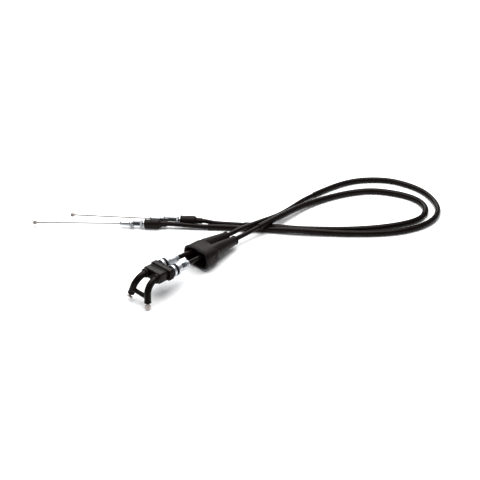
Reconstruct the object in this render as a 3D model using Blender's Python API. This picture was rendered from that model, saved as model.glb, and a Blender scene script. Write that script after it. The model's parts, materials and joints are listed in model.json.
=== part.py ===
"""Twin throttle cable set for a motorcycle: a pull cable and a push cable that share one elbow guide.

The grip end is the head: two elbows moulded as a pair, held by a split guide block, with an adjuster
behind each elbow. A rubber boot with two legs is slid back on the cables. From there both cables make
one loop on the floor and end at the carburettor in a threaded stud, two nuts, a boot and a bare wire.

Metres, +Z up, floor at Z = 0. +X runs from the head along the cables as they leave it.
"""

import math

import bmesh
import bpy
import numpy as np
from mathutils import Euler, Matrix, Vector

MM = 0.001
GAP = 0.3 * MM

# Head: where its frame stands, and how far the cables slope down behind it
HEAD_AT = Vector((-11.8, 0.0, 27.45)) * MM
HEAD_PITCH = math.radians(7.0)
CABLE_SPACING = 17.0 * MM
CABLE_SPACING_BEHIND_BOOT = 13.0 * MM

# Cable
CONDUIT_R = 2.9 * MM
CONDUIT_STEP = 15.0 * MM
WIRE_R = 0.8 * MM
WIRE_BORE_R = 1.4 * MM
SLEEVE_BORE_R = CONDUIT_R + GAP
LOOP_SLEEVE_R = 3.7 * MM
GRIP_SLEEVE_R = 4.0 * MM
CARB_SLEEVE_R = 3.6 * MM

# Elbow guide
ELBOW_R = 3.9 * MM
ELBOW_BORE_R = 1.9 * MM
ELBOW_ROOT = 10.0 * MM
ELBOW_LEAD = 1.0 * MM
ELBOW_BEND_R = 15.8 * MM
ELBOW_BEND = math.radians(81.0)
ELBOW_TAIL = 9.5 * MM
ELBOW_SPLAY = math.radians(13.0)
ELBOW_COLLAR_R = 5.6 * MM
ELBOW_COLLAR_LENGTH = 3.0 * MM
TIE_R = 2.7 * MM
TIE_ABOVE_TIP = 6.3 * MM
TIE_INSET = ELBOW_BORE_R + 0.7 * MM
NIPPLE_STAND_OFF = 4.4 * MM
WIRE_INSIDE_ELBOW = 14.0 * MM

# Guide block, front to rear, and the half width and half height of each step
BLOCK_STEPS = (
    (0.0, 12.6, 5.6),
    (0.7, 13.3, 6.3),
    (11.9, 13.3, 6.3),
    (12.1, 12.2, 5.2),
    (13.2, 12.2, 5.2),
    (13.4, 15.5, 6.6),
    (20.0, 15.5, 6.6),
    (20.9, 14.6, 5.7),
)
BLOCK_CORNER_R = 2.6 * MM
BLOCK_SPLIT = 0.15 * MM
BLOCK_BORE_R = ELBOW_R + GAP

# Grip-end adjusters, distances from the block's front face
SPIGOT_FRONT = 11.0 * MM
SPIGOT_R = 3.9 * MM
DISC = (22.4 * MM, 25.6 * MM)
DISC_R = 7.2 * MM
RING_SEAT_R = 5.0 * MM
RING_AT = 27.2 * MM
RING_MAJOR_R = 6.3 * MM
RING_MINOR_R = 0.95 * MM
SPIGOT_REAR = 33.0 * MM
SPIGOT_TAIL_R = 3.2 * MM
COLLAR = (29.2 * MM, 32.2 * MM)
BARREL_R = 5.4 * MM
BARREL_REAR_R = 4.5 * MM
BARREL_TAPER = (44.0 * MM, 46.0 * MM)
BARREL_REAR = 48.6 * MM
BARREL_FLAT = 4.5 * MM
FLATS = (35.0 * MM, 43.0 * MM)
CONDUIT_START = 45.0 * MM

# Grip boot, at rest behind the adjusters, where it hangs on the cables. Its mouth's centre is CUP_DROP
# below them and the cup rises towards its rear. Outline steps: distance from the mouth, half width and
# height. The legs lean towards each other: a lean is an axis's distance from the middle at LEG_ROOT and
# at LEG_END, and its height above the cables.
BOOT_AT = 71.4 * MM
CUP_DROP = 4.4 * MM
BOOT_TILT = math.radians(3.1)
CUP_STEPS = (
    (0.0, 19.1, 11.8),
    (0.6, 19.7, 12.4),
    (2.3, 19.7, 12.4),
    (2.6, 18.9, 11.6),
    (3.2, 18.9, 11.6),
    (3.5, 19.1, 11.8),
    (19.5, 19.0, 11.7),
    (22.6, 18.0, 10.8),
    (24.2, 16.4, 9.4),
)
CAVITY_STEPS = ((-2.0, 17.2, 10.2), (18.5, 16.9, 9.9))
LEG_START = 17.0 * MM
LEG_ROOT = 18.0 * MM
LEG_END = 62.8 * MM
LEG_STEPS = ((26.0, 8.6), (38.0, 7.6), (50.0, 6.4), (59.0, 5.7))
LEG_TIP_R = 5.5 * MM
LEG_BEAD_R = 5.9 * MM
LEG_BEAD = 1.6 * MM
LEG_LEAN = (8.5 * MM, 6.8 * MM, -0.6 * MM)
LEG_BORE_LEAN = (8.0 * MM, 7.05 * MM, -1.15 * MM)
LEG_BORE_ROOT_R = 7.0 * MM
LEG_BORE_TIP_R = 4.4 * MM

# Carburettor end, distances from the wire nipple's centre along the wire
NIPPLE_R = 2.6 * MM
NIPPLE_LENGTH = 5.6 * MM
NOSE_R = 2.8 * MM
NOSE_SHANK_R = 2.1 * MM
NOSE_INSERT = 6.0 * MM
STUD_R = 3.0 * MM
NUT_FLAT = 8.0 * MM
NUT_FACE_R = 3.9 * MM
NUT_LENGTH = 3.0 * MM
WASHER_R = 5.4 * MM
WASHER_LENGTH = 1.2 * MM
FERRULE_R = 3.6 * MM
FERRULE_LENGTH = 5.6 * MM
FERRULE_CUP = 4.4 * MM
CARB_BOOT_R = 5.9 * MM
CARB_BOOT_LIP_R = 6.2 * MM
CARB_BOOT_BORE_R = 5.0 * MM
CARB_BOOT_BODY = 20.0 * MM
CARB_BOOT_CAVITY = 16.5 * MM
CARB_BOOT_NECK_R = 3.9 * MM
CARB_BOOT_LENGTH = 28.5 * MM

# The two cables. Each route runs on the floor from behind the grip boot to the carburettor-end boot.
CABLES = {
    "pull": {
        "side": 1.0,
        "grip_nipple": (1.5 * MM, 6.8 * MM, -80.0),
        "route": (
            (145.1, 4.8, 10), (158.9, 0.7, 10.8), (179.3, -5, 10.7), (200.3, -7.5, 8.2), (230, -7.2, 5.4),
            (260.3, -6.5, 4.2), (288.2, -10, 3.8), (320.2, -17.1, 3.8), (347.4, -28.6, 3.8),
            (367.3, -45.5, 3.8), (381.1, -66, 3.8), (387.1, -91.1, 3.8), (385.9, -113.3, 3.8),
            (375.9, -135.7, 3.8), (357.4, -154.4, 3.8), (332.7, -161.8, 3.8), (308.2, -158.1, 3.8),
            (285.5, -147.6, 3.8), (263.8, -131, 3.8), (242.6, -109, 3.8), (223.3, -85.8, 4.3),
            (205, -62, 5.3), (190.2, -41.4, 5.6), (176, -19.2, 4.3), (162.6, -0.3, 3.8),
            (149.2, 18.7, 3.8), (133.5, 39.4, 3.9), (119.4, 56.8, 4.6),
        ),
        "carb_at": (-11.3, 216.4, 6.3),
        "carb_heading": -50.19,
        "nose_tip": 108.4 * MM,
        "stud_front": 121.0 * MM,
        "front_nut": 121.3 * MM,
        "washer": 124.6 * MM,
        "rear_nut": 134.4 * MM,
        "ferrule": 137.8 * MM,
        "carb_boot": 140.0 * MM,
    },
    "push": {
        "side": -1.0,
        "grip_nipple": (3.3 * MM, 3.2 * MM, 41.0),
        "route": (
            (139.6, -8.2, 10.9), (166.3, -12.5, 12.2), (188.4, -14.4, 11.6), (216.7, -15.5, 9.2),
            (244, -17.1, 6.6), (271.1, -22.9, 4.7), (298.2, -32.9, 4.1), (321.7, -46.1, 4.1),
            (341.1, -62.9, 4.1), (353.2, -83.5, 4.1), (359.8, -104.4, 4.1), (359.8, -123.1, 4.1),
            (347.8, -141.4, 4.1), (326.1, -147.9, 4.1), (303.1, -141.2, 4.1), (281.5, -127.7, 3.8),
            (258.8, -109.3, 3.7), (237, -87.7, 3.7), (217.5, -64.9, 3.7), (200.6, -43, 3.7),
            (187.1, -22.1, 3.7), (174.6, -2.8, 3.7), (162.1, 14.5, 3.7), (149.1, 32.5, 3.9),
            (138.6, 46.6, 4.9),
        ),
        "carb_at": (31.9, 194.5, 6.3),
        "carb_heading": -53.98,
        "nose_tip": 101.2 * MM,
        "stud_front": 115.3 * MM,
        "front_nut": 115.6 * MM,
        "washer": 118.9 * MM,
        "rear_nut": 135.6 * MM,
        "ferrule": 139.0 * MM,
        "carb_boot": 140.8 * MM,
    },
}
# Sleeves over the conduits, as shares of the conduit's length from the grip end
SLEEVES = (
    ("pull_loop_sleeve", "pull", 0.285, 0.907, LOOP_SLEEVE_R),
    ("push_grip_sleeve", "push", 0.172, 0.566, GRIP_SLEEVE_R),
    ("push_carb_sleeve", "push", 0.568, 0.890, CARB_SLEEVE_R),
)

# Colour, roughness and metallic value of each material
FINISHES = {
    "satin_rubber": ((0.018, 0.016, 0.016, 1.0), 0.55, 0.0),
    "moulded_black": ((0.014, 0.012, 0.012, 1.0), 0.38, 0.0),
    "conduit_black": ((0.012, 0.011, 0.011, 1.0), 0.33, 0.0),
    "zinc": ((0.78, 0.80, 0.83, 1.0), 0.28, 1.0),
    "wire_steel": ((0.62, 0.60, 0.57, 1.0), 0.35, 1.0),
}


# ---------------------------------------------------------------- scene helpers


def clear_scene():
    for thing in list(bpy.data.objects):
        bpy.data.objects.remove(thing, do_unlink=True)


def finish(name):
    """The material of that name, made on first use."""
    found = bpy.data.materials.get(name)
    if found:
        return found
    colour, roughness, metallic = FINISHES[name]
    made = bpy.data.materials.new(name)
    made.use_nodes = True
    shader = made.node_tree.nodes["Principled BSDF"]
    shader.inputs["Base Color"].default_value = colour
    shader.inputs["Roughness"].default_value = roughness
    shader.inputs["Metallic"].default_value = metallic
    return made


def add_empty(name, location, rotation, parent=None):
    """A frame that pieces hang on."""
    made = bpy.data.objects.new(name, None)
    made.location = location
    made.rotation_euler = rotation
    made.parent = parent
    bpy.context.scene.collection.objects.link(made)
    return made


def add_mesh(name, vertices, faces, material, parent=None, location=(0, 0, 0), rotation=(0, 0, 0)):
    """One closed body with its faces turned outward."""
    mesh = bpy.data.meshes.new(name)
    mesh.from_pydata([tuple(v) for v in vertices], [], faces)
    body = bmesh.new()
    body.from_mesh(mesh)
    bmesh.ops.recalc_face_normals(body, faces=body.faces)
    body.to_mesh(mesh)
    body.free()
    mesh.shade_smooth()
    mesh.set_sharp_from_angle(angle=math.radians(35.0))
    mesh.materials.append(finish(material))
    made = bpy.data.objects.new(name, mesh)
    made.location = location
    made.rotation_euler = rotation
    made.parent = parent
    bpy.context.scene.collection.objects.link(made)
    return made


def combine(target, operation, tools):
    """Boolean modifiers on target, whose tools are hidden."""
    for tool in tools:
        tool.hide_render = True
        tool.display_type = "WIRE"
        step = target.modifiers.new(tool.name, "BOOLEAN")
        step.operation = operation
        step.solver = "EXACT"
        step.object = tool
    return target


# ---------------------------------------------------------------- shapes


def bridge_rings(rings, count, closed_loop):
    """Quads between neighbouring rings of count points, round to the first ring again if closed_loop."""
    faces = []
    last = len(rings) if closed_loop else len(rings) - 1
    for i in range(last):
        a, b = i * count, (i + 1) % len(rings) * count
        for k in range(count):
            n = (k + 1) % count
            faces.append((a + k, a + n, b + n, b + k))
    return faces


def hexagon_scale(angle):
    """Radius of a hexagon at an angle, as a share of its corner radius."""
    sector = math.radians(60.0)
    return math.cos(sector / 2) / math.cos(angle % sector - sector / 2)


def turned(name, profile, material, sides=20, hexed=(), **placing):
    """A piece turned about its own X axis from (x, radius) points.

    A profile that starts and ends on the axis is solid; any other is a ring with a bore and joins up.
    Radii whose index is in hexed follow a hexagon.
    """
    solid = profile[0][1] == 0.0
    outline = profile[1:-1] if solid else profile
    first = 1 if solid else 0
    vertices = []
    for i, (x, radius) in enumerate(outline):
        for k in range(sides):
            angle = 2 * math.pi * k / sides
            r = radius * hexagon_scale(angle) if i + first in hexed else radius
            vertices.append((x, r * math.cos(angle), r * math.sin(angle)))
    faces = bridge_rings(outline, sides, not solid)
    if solid:
        faces.append(tuple(range(sides)))
        faces.append(tuple(range(len(vertices) - sides, len(vertices)))[::-1])
    return add_mesh(name, vertices, faces, material, **placing)


def lofted(name, sections, material, **placing):
    """A solid through cross-sections with the same number of points each."""
    count = len(sections[0])
    vertices = [point for section in sections for point in section]
    faces = bridge_rings(sections, count, False)
    faces.append(tuple(range(count)))
    faces.append(tuple(range(len(vertices) - count, len(vertices)))[::-1])
    return add_mesh(name, vertices, faces, material, **placing)


def ring_frames(path):
    """A centre, and two directions across it, at each point of a path, without twist."""
    points = [Vector(p) for p in path]
    frames = []
    across = None
    for i, point in enumerate(points):
        ahead = points[min(i + 1, len(points) - 1)] - points[max(i - 1, 0)]
        ahead.normalize()
        if across is None:
            up = Vector((0, 0, 1)) if abs(ahead.z) < 0.9 else Vector((1, 0, 0))
            across = up.cross(ahead)
        across = (across - ahead * across.dot(ahead)).normalized()
        frames.append((point, across.copy(), ahead.cross(across)))
    return frames


def swept(name, path, radius, material, bore=None, sides=12, **placing):
    """A round bar along a path, or a tube where it has a bore."""
    frames = ring_frames(path)
    turns = [2 * math.pi * k / sides for k in range(sides)]

    def rings(places, r):
        return [c + (u * math.cos(t) + v * math.sin(t)) * r for c, u, v in places for t in turns]

    outer = rings(frames, radius)
    if bore is None:
        faces = bridge_rings(frames, sides, False)
        faces.append(tuple(range(sides)))
        faces.append(tuple(range(len(outer) - sides, len(outer)))[::-1])
        return add_mesh(name, outer, faces, material, **placing)
    back = frames[::-1]
    faces = bridge_rings(frames + back, sides, True)
    return add_mesh(name, outer + rings(back, bore), faces, material, **placing)


# ---------------------------------------------------------------- cable routes


def spline_through(points, start_slope, end_slope, step):
    """Evenly spaced points on the clamped cubic spline through the points."""
    knots = np.array([tuple(p) for p in points])
    spans = np.linalg.norm(np.diff(knots, axis=0), axis=1)
    n = len(knots)
    system = np.zeros((n, n))
    right = np.zeros((n, 3))
    chords = np.diff(knots, axis=0) / spans[:, None]
    system[0, :2] = 2 * spans[0], spans[0]
    right[0] = 6 * (chords[0] - np.array(start_slope))
    system[-1, -2:] = spans[-1], 2 * spans[-1]
    right[-1] = 6 * (np.array(end_slope) - chords[-1])
    for i in range(1, n - 1):
        system[i, i - 1 : i + 2] = spans[i - 1], 2 * (spans[i - 1] + spans[i]), spans[i]
        right[i] = 6 * (chords[i] - chords[i - 1])
    bend = np.linalg.solve(system, right)
    fine = []
    for i, h in enumerate(spans):
        for b in np.linspace(0.0, 1.0, 24, endpoint=False):
            a = 1.0 - b
            sag = (a**3 - a) * bend[i] + (b**3 - b) * bend[i + 1]
            fine.append(a * knots[i] + b * knots[i + 1] + h * h / 6 * sag)
    fine = np.array(fine + [knots[-1]])
    along = np.concatenate([[0.0], np.cumsum(np.linalg.norm(np.diff(fine, axis=0), axis=1))])
    stops = np.linspace(0.0, along[-1], round(along[-1] / step) + 1)
    return np.stack([np.interp(stops, along, fine[:, k]) for k in range(3)], axis=1)


def head_matrix():
    return Matrix.LocRotScale(HEAD_AT, Euler((0, HEAD_PITCH, 0)), None)


def carb_matrix(cable):
    heading = Euler((0, 0, math.radians(cable["carb_heading"])))
    return Matrix.LocRotScale(Vector(cable["carb_at"]) * MM, heading, None)


def conduit_path(cable):
    """The conduit's centreline, from inside the grip-end barrel to inside the carburettor-end ferrule."""
    side = cable["side"] * CABLE_SPACING / 2
    head, carb = head_matrix(), carb_matrix(cable)
    start = head @ Vector((CONDUIT_START, side, 0))
    side_behind = cable["side"] * CABLE_SPACING_BEHIND_BOOT / 2
    leave = head @ Vector((BOOT_AT + LEG_END + 2 * MM, side_behind, 0))
    arrive = carb @ Vector((cable["carb_boot"] + CARB_BOOT_LENGTH, 0, 0))
    end = carb @ Vector((cable["ferrule"] + FERRULE_LENGTH - FERRULE_CUP + GAP, 0, 0))
    route = [leave] + [Vector(p) * MM for p in cable["route"]] + [arrive]
    slopes = (leave - start).normalized(), (end - arrive).normalized()
    loop = spline_through(route, *slopes, CONDUIT_STEP)
    return (
        [Vector(p) for p in np.linspace(start, leave, 6)[:-1]]
        + [Vector(p) for p in loop]
        + [Vector(p) for p in np.linspace(arrive, end, 3)[1:]]
    )


def stretch(path, first_share, last_share):
    """The points of a path between two shares of its length, ends included."""
    spans = [(b - a).length for a, b in zip(path, path[1:])]
    along = np.concatenate([[0.0], np.cumsum(spans)])
    first, last = first_share * along[-1], last_share * along[-1]

    def at(distance):
        return Vector([np.interp(distance, along, [p[k] for p in path]) for k in range(3)])

    inside = [p for p, s in zip(path, along) if first + CONDUIT_R < s < last - CONDUIT_R]
    return [at(first)] + inside + [at(last)]


def make_conduit(name, path):
    data = bpy.data.curves.new(name, "CURVE")
    data.dimensions = "3D"
    data.bevel_depth = CONDUIT_R
    data.bevel_resolution = 2
    data.use_fill_caps = True
    line = data.splines.new("POLY")
    line.points.add(len(path) - 1)
    for point, place in zip(line.points, path):
        point.co = (*place, 1.0)
    data.materials.append(finish("conduit_black"))
    made = bpy.data.objects.new(name, data)
    bpy.context.scene.collection.objects.link(made)


# ---------------------------------------------------------------- head


def elbow_point(distance):
    """A point on an elbow's centreline in its own plane, by distance from the block's front face."""
    past_lead = distance - ELBOW_LEAD
    turn = min(max(past_lead, 0.0) / ELBOW_BEND_R, ELBOW_BEND)
    tail = max(past_lead - ELBOW_BEND_R * ELBOW_BEND, 0.0)
    x = min(past_lead, 0.0) + ELBOW_LEAD + ELBOW_BEND_R * math.sin(turn) + tail * math.cos(ELBOW_BEND)
    z = ELBOW_BEND_R * (1 - math.cos(turn)) + tail * math.sin(ELBOW_BEND)
    return Vector((-x, 0, -z))


def elbow_end():
    return ELBOW_LEAD + ELBOW_BEND_R * ELBOW_BEND + ELBOW_TAIL


def elbow_rotation(side):
    return Euler((side * ELBOW_SPLAY, 0, 0))


def in_head(point, side):
    """A point of an elbow's own plane, in the head's frame."""
    turned_point = elbow_rotation(side).to_matrix() @ point
    return turned_point + Vector((0, side * CABLE_SPACING / 2, 0))


def make_elbow_pair(head):
    """Both elbows with their collars and the bar that ties them, moulded in one."""
    arc_steps = 10
    stops = [-ELBOW_ROOT, -ELBOW_ROOT / 2]
    stops += [ELBOW_LEAD + ELBOW_BEND_R * ELBOW_BEND * k / arc_steps for k in range(arc_steps + 1)]
    stops += [elbow_end() - ELBOW_TAIL / 2, elbow_end()]
    tubes, tools = [], []
    for label, side in (("pull", 1.0), ("push", -1.0)):
        path = [in_head(elbow_point(s), side) for s in stops]
        tubes.append(
            swept(f"{label}_elbow_tube", path, ELBOW_R, "moulded_black", ELBOW_BORE_R, 16, parent=head)
        )
        mid_wall = (ELBOW_R + ELBOW_BORE_R) / 2
        front = -GAP - ELBOW_COLLAR_LENGTH
        collar = ((front, mid_wall), (-GAP, mid_wall), (-GAP, ELBOW_COLLAR_R), (front, ELBOW_COLLAR_R))
        tools.append(
            turned(
                f"{label}_elbow_collar",
                collar,
                "moulded_black",
                parent=head,
                location=(0, side * CABLE_SPACING / 2, 0),
            )
        )
    tie_at = elbow_point(elbow_end() - TIE_ABOVE_TIP)
    inset = Vector((0, TIE_INSET, 0))
    ends = in_head(tie_at, 1.0) - inset, in_head(tie_at, -1.0) + inset
    bar = [ends[0].lerp(ends[1], share / 2) for share in range(3)]
    tools.append(swept("elbow_tie_bar", bar, TIE_R, "moulded_black", parent=head))
    tubes[0].name = "elbow_pair"
    return combine(tubes[0], "UNION", [tubes[1]] + tools)


def block_section(x, half_width, half_height, side):
    """Outline of half the block: square at the split, rounded at the outer corners."""
    corner = min(BLOCK_CORNER_R, half_height - 0.4 * MM)
    points = [(x, side * BLOCK_SPLIT, half_height)]
    for centre_z, start in ((half_height - corner, 90.0), (-half_height + corner, 0.0)):
        for k in range(6):
            angle = math.radians(start - 18.0 * k)
            y = half_width - corner + corner * math.cos(angle)
            points.append((x, side * y, centre_z + corner * math.sin(angle)))
    points.append((x, side * BLOCK_SPLIT, -half_height))
    return points


def make_block_half(label, side, head):
    sections = [block_section(x * MM, w * MM, h * MM, side) for x, w, h in BLOCK_STEPS]
    half = lofted(f"{label}_block_half", sections, "moulded_black", parent=head)
    over = 2 * MM
    front, rear = -over, BLOCK_STEPS[-1][0] * MM + over
    bore = turned(
        f"{label}_block_bore",
        ((front, 0.0), (front, BLOCK_BORE_R), (rear, BLOCK_BORE_R), (rear, 0.0)),
        "moulded_black",
        parent=head,
        location=(0, side * CABLE_SPACING / 2, 0),
    )
    return combine(half, "DIFFERENCE", [bore])


def make_adjuster(label, side, head):
    """Spigot screwed into the block, O-ring on its seat, and the barrel that turns behind it."""
    at = (0, side * CABLE_SPACING / 2, 0)
    disc_front, disc_rear = DISC
    seat_rear = COLLAR[0] - GAP
    chamfer = 0.5 * MM
    turned(
        f"{label}_spigot",
        (
            (SPIGOT_FRONT, WIRE_BORE_R),
            (SPIGOT_FRONT, SPIGOT_R),
            (disc_front, SPIGOT_R),
            (disc_front, DISC_R - chamfer),
            (disc_front + chamfer, DISC_R),
            (disc_rear, DISC_R),
            (disc_rear, RING_SEAT_R),
            (seat_rear, RING_SEAT_R),
            (seat_rear, SPIGOT_TAIL_R),
            (SPIGOT_REAR, SPIGOT_TAIL_R),
            (SPIGOT_REAR, WIRE_BORE_R),
        ),
        "zinc",
        parent=head,
        location=at,
    )
    turns = [math.radians(45.0 * k) for k in range(8)]
    section = [
        (RING_AT + RING_MINOR_R * math.cos(t), RING_MAJOR_R + RING_MINOR_R * math.sin(t)) for t in turns
    ]
    turned(f"{label}_o_ring", section, "satin_rubber", parent=head, location=at)
    collar_front, collar_rear = COLLAR
    taper_front, taper_rear = BARREL_TAPER
    barrel = turned(
        f"{label}_barrel",
        (
            (collar_front, SPIGOT_TAIL_R + GAP),
            (collar_front, DISC_R),
            (collar_rear - chamfer, DISC_R),
            (collar_rear, DISC_R - chamfer),
            (collar_rear, BARREL_R),
            (taper_front, BARREL_R),
            (taper_rear, BARREL_REAR_R),
            (BARREL_REAR, BARREL_REAR_R),
            (BARREL_REAR, SLEEVE_BORE_R),
            (CONDUIT_START - GAP, SLEEVE_BORE_R),
            (CONDUIT_START - GAP, WIRE_BORE_R),
            (SPIGOT_REAR + MM, WIRE_BORE_R),
            (SPIGOT_REAR + MM, SPIGOT_TAIL_R + GAP),
        ),
        "zinc",
        parent=head,
        location=at,
    )
    clear = 8 * MM
    corners = ((-clear, clear), (clear, clear), (clear, BARREL_FLAT), (-clear, BARREL_FLAT))
    cutters = []
    for word, way in (("upper", 1.0), ("lower", -1.0)):
        sections = [[(x, y, way * z) for y, z in corners] for x in FLATS]
        cutters.append(lofted(f"{label}_{word}_flat", sections, "zinc", parent=head, location=at))
    return combine(barrel, "DIFFERENCE", cutters)


def facing(forward, across):
    """Rotation whose X is forward and whose Z is as near to across as it can be."""
    x = forward.normalized()
    z = (across - x * across.dot(x)).normalized()
    return Matrix((x, z.cross(x), z)).transposed().to_euler()


def make_nipple(name, radius, length, turn, material, **placing):
    """A short barrel drilled for the wire, which runs along the local X axis. Its own axis is Z, turned."""
    half = length / 2
    edge = 0.3 * MM
    body = turned(
        name,
        (
            (-half, 0.0),
            (-half, radius - edge),
            (-half + edge, radius),
            (half - edge, radius),
            (half, radius - edge),
            (half, 0.0),
        ),
        material,
        sides=16,
        **placing,
    )
    upright = Matrix.Rotation(math.pi / 2, 4, "Y")
    body.data.transform(Matrix.Rotation(math.radians(turn), 4, "X") @ upright)
    drill_r = WIRE_R + GAP
    front = -WIRE_R - GAP
    rear = radius + MM
    drill = turned(
        f"{name}_drill",
        ((front, 0.0), (front, drill_r), (rear, drill_r), (rear, 0.0)),
        material,
        sides=12,
        **placing,
    )
    return combine(body, "DIFFERENCE", [drill])


def make_grip_wire(label, side, head, nipple):
    """The end of the inner wire that shows at the elbow's tip, and its nipple."""
    radius, length, axis_heading = nipple
    tip = in_head(elbow_point(elbow_end()), side)
    inward = (in_head(elbow_point(elbow_end() - ELBOW_TAIL), side) - tip).normalized()
    wire_length = NIPPLE_STAND_OFF + WIRE_INSIDE_ELBOW
    heading = math.radians(axis_heading)
    across = Vector((math.cos(heading), math.sin(heading), 0))
    place = {
        "parent": head,
        "location": tip - inward * NIPPLE_STAND_OFF,
        "rotation": facing(inward, across),
    }
    turned(
        f"{label}_grip_wire",
        ((0.0, 0.0), (0.0, WIRE_R), (wire_length, WIRE_R), (wire_length, 0.0)),
        "wire_steel",
        sides=12,
        **place,
    )
    make_nipple(f"{label}_grip_nipple", radius, length, 0.0, "zinc", **place)


# ---------------------------------------------------------------- grip boot


def oval(x, half_width, half_height, count=32):
    """A rounded oblong across the X axis."""
    points = []
    for k in range(count):
        angle = 2 * math.pi * (k + 0.5) / count
        c, s = math.cos(angle), math.sin(angle)
        y = half_width * math.copysign(abs(c) ** 0.55, c)
        z = half_height * math.copysign(abs(s) ** 0.75, s)
        points.append((x, y, z))
    return points


def leaning(head, side, lean):
    """Placing of a leg's outline or bore on its leaning axis, with distances from the boot's mouth."""
    at_root, at_end, height = lean
    slope = (at_root - at_end) / (LEG_END - LEG_ROOT)
    return {
        "parent": head,
        "location": (BOOT_AT, side * (at_root + slope * LEG_ROOT), height),
        "rotation": (0, 0, -side * math.atan(slope)),
    }


def make_grip_boot(head):
    """An oblong cup with two tapered legs. Its frame's origin is the middle of its mouth."""
    frame = add_empty("boot_axis", (BOOT_AT, 0, -CUP_DROP), (0, -BOOT_TILT, 0), head)
    cup, cavity = (
        [oval(x * MM, half_width * MM, half_height * MM) for x, half_width, half_height in steps]
        for steps in (CUP_STEPS, CAVITY_STEPS)
    )
    boot = lofted("grip_boot", cup, "satin_rubber", parent=frame)
    legs = []
    cuts = [lofted("grip_boot_cavity", cavity, "satin_rubber", parent=frame)]
    leg = [(LEG_START, 0.0), (LEG_START, LEG_STEPS[0][1] * MM)]
    leg += [(x * MM, radius * MM) for x, radius in LEG_STEPS]
    leg += [
        (LEG_END - LEG_BEAD - 0.6 * MM, LEG_TIP_R),
        (LEG_END - LEG_BEAD, LEG_BEAD_R),
        (LEG_END - 0.4 * MM, LEG_BEAD_R),
        (LEG_END, LEG_TIP_R),
        (LEG_END, 0.0),
    ]
    bore = (
        (LEG_ROOT, 0.0),
        (LEG_ROOT, LEG_BORE_ROOT_R),
        (LEG_END + MM, LEG_BORE_TIP_R),
        (LEG_END + MM, 0.0),
    )
    for label, side in (("pull", 1.0), ("push", -1.0)):
        legs.append(turned(f"{label}_boot_leg", leg, "satin_rubber", **leaning(head, side, LEG_LEAN)))
        cuts.append(turned(f"{label}_boot_bore", bore, "satin_rubber", **leaning(head, side, LEG_BORE_LEAN)))
    combine(boot, "UNION", legs)
    return combine(boot, "DIFFERENCE", cuts)


# ---------------------------------------------------------------- carburettor end


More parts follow.
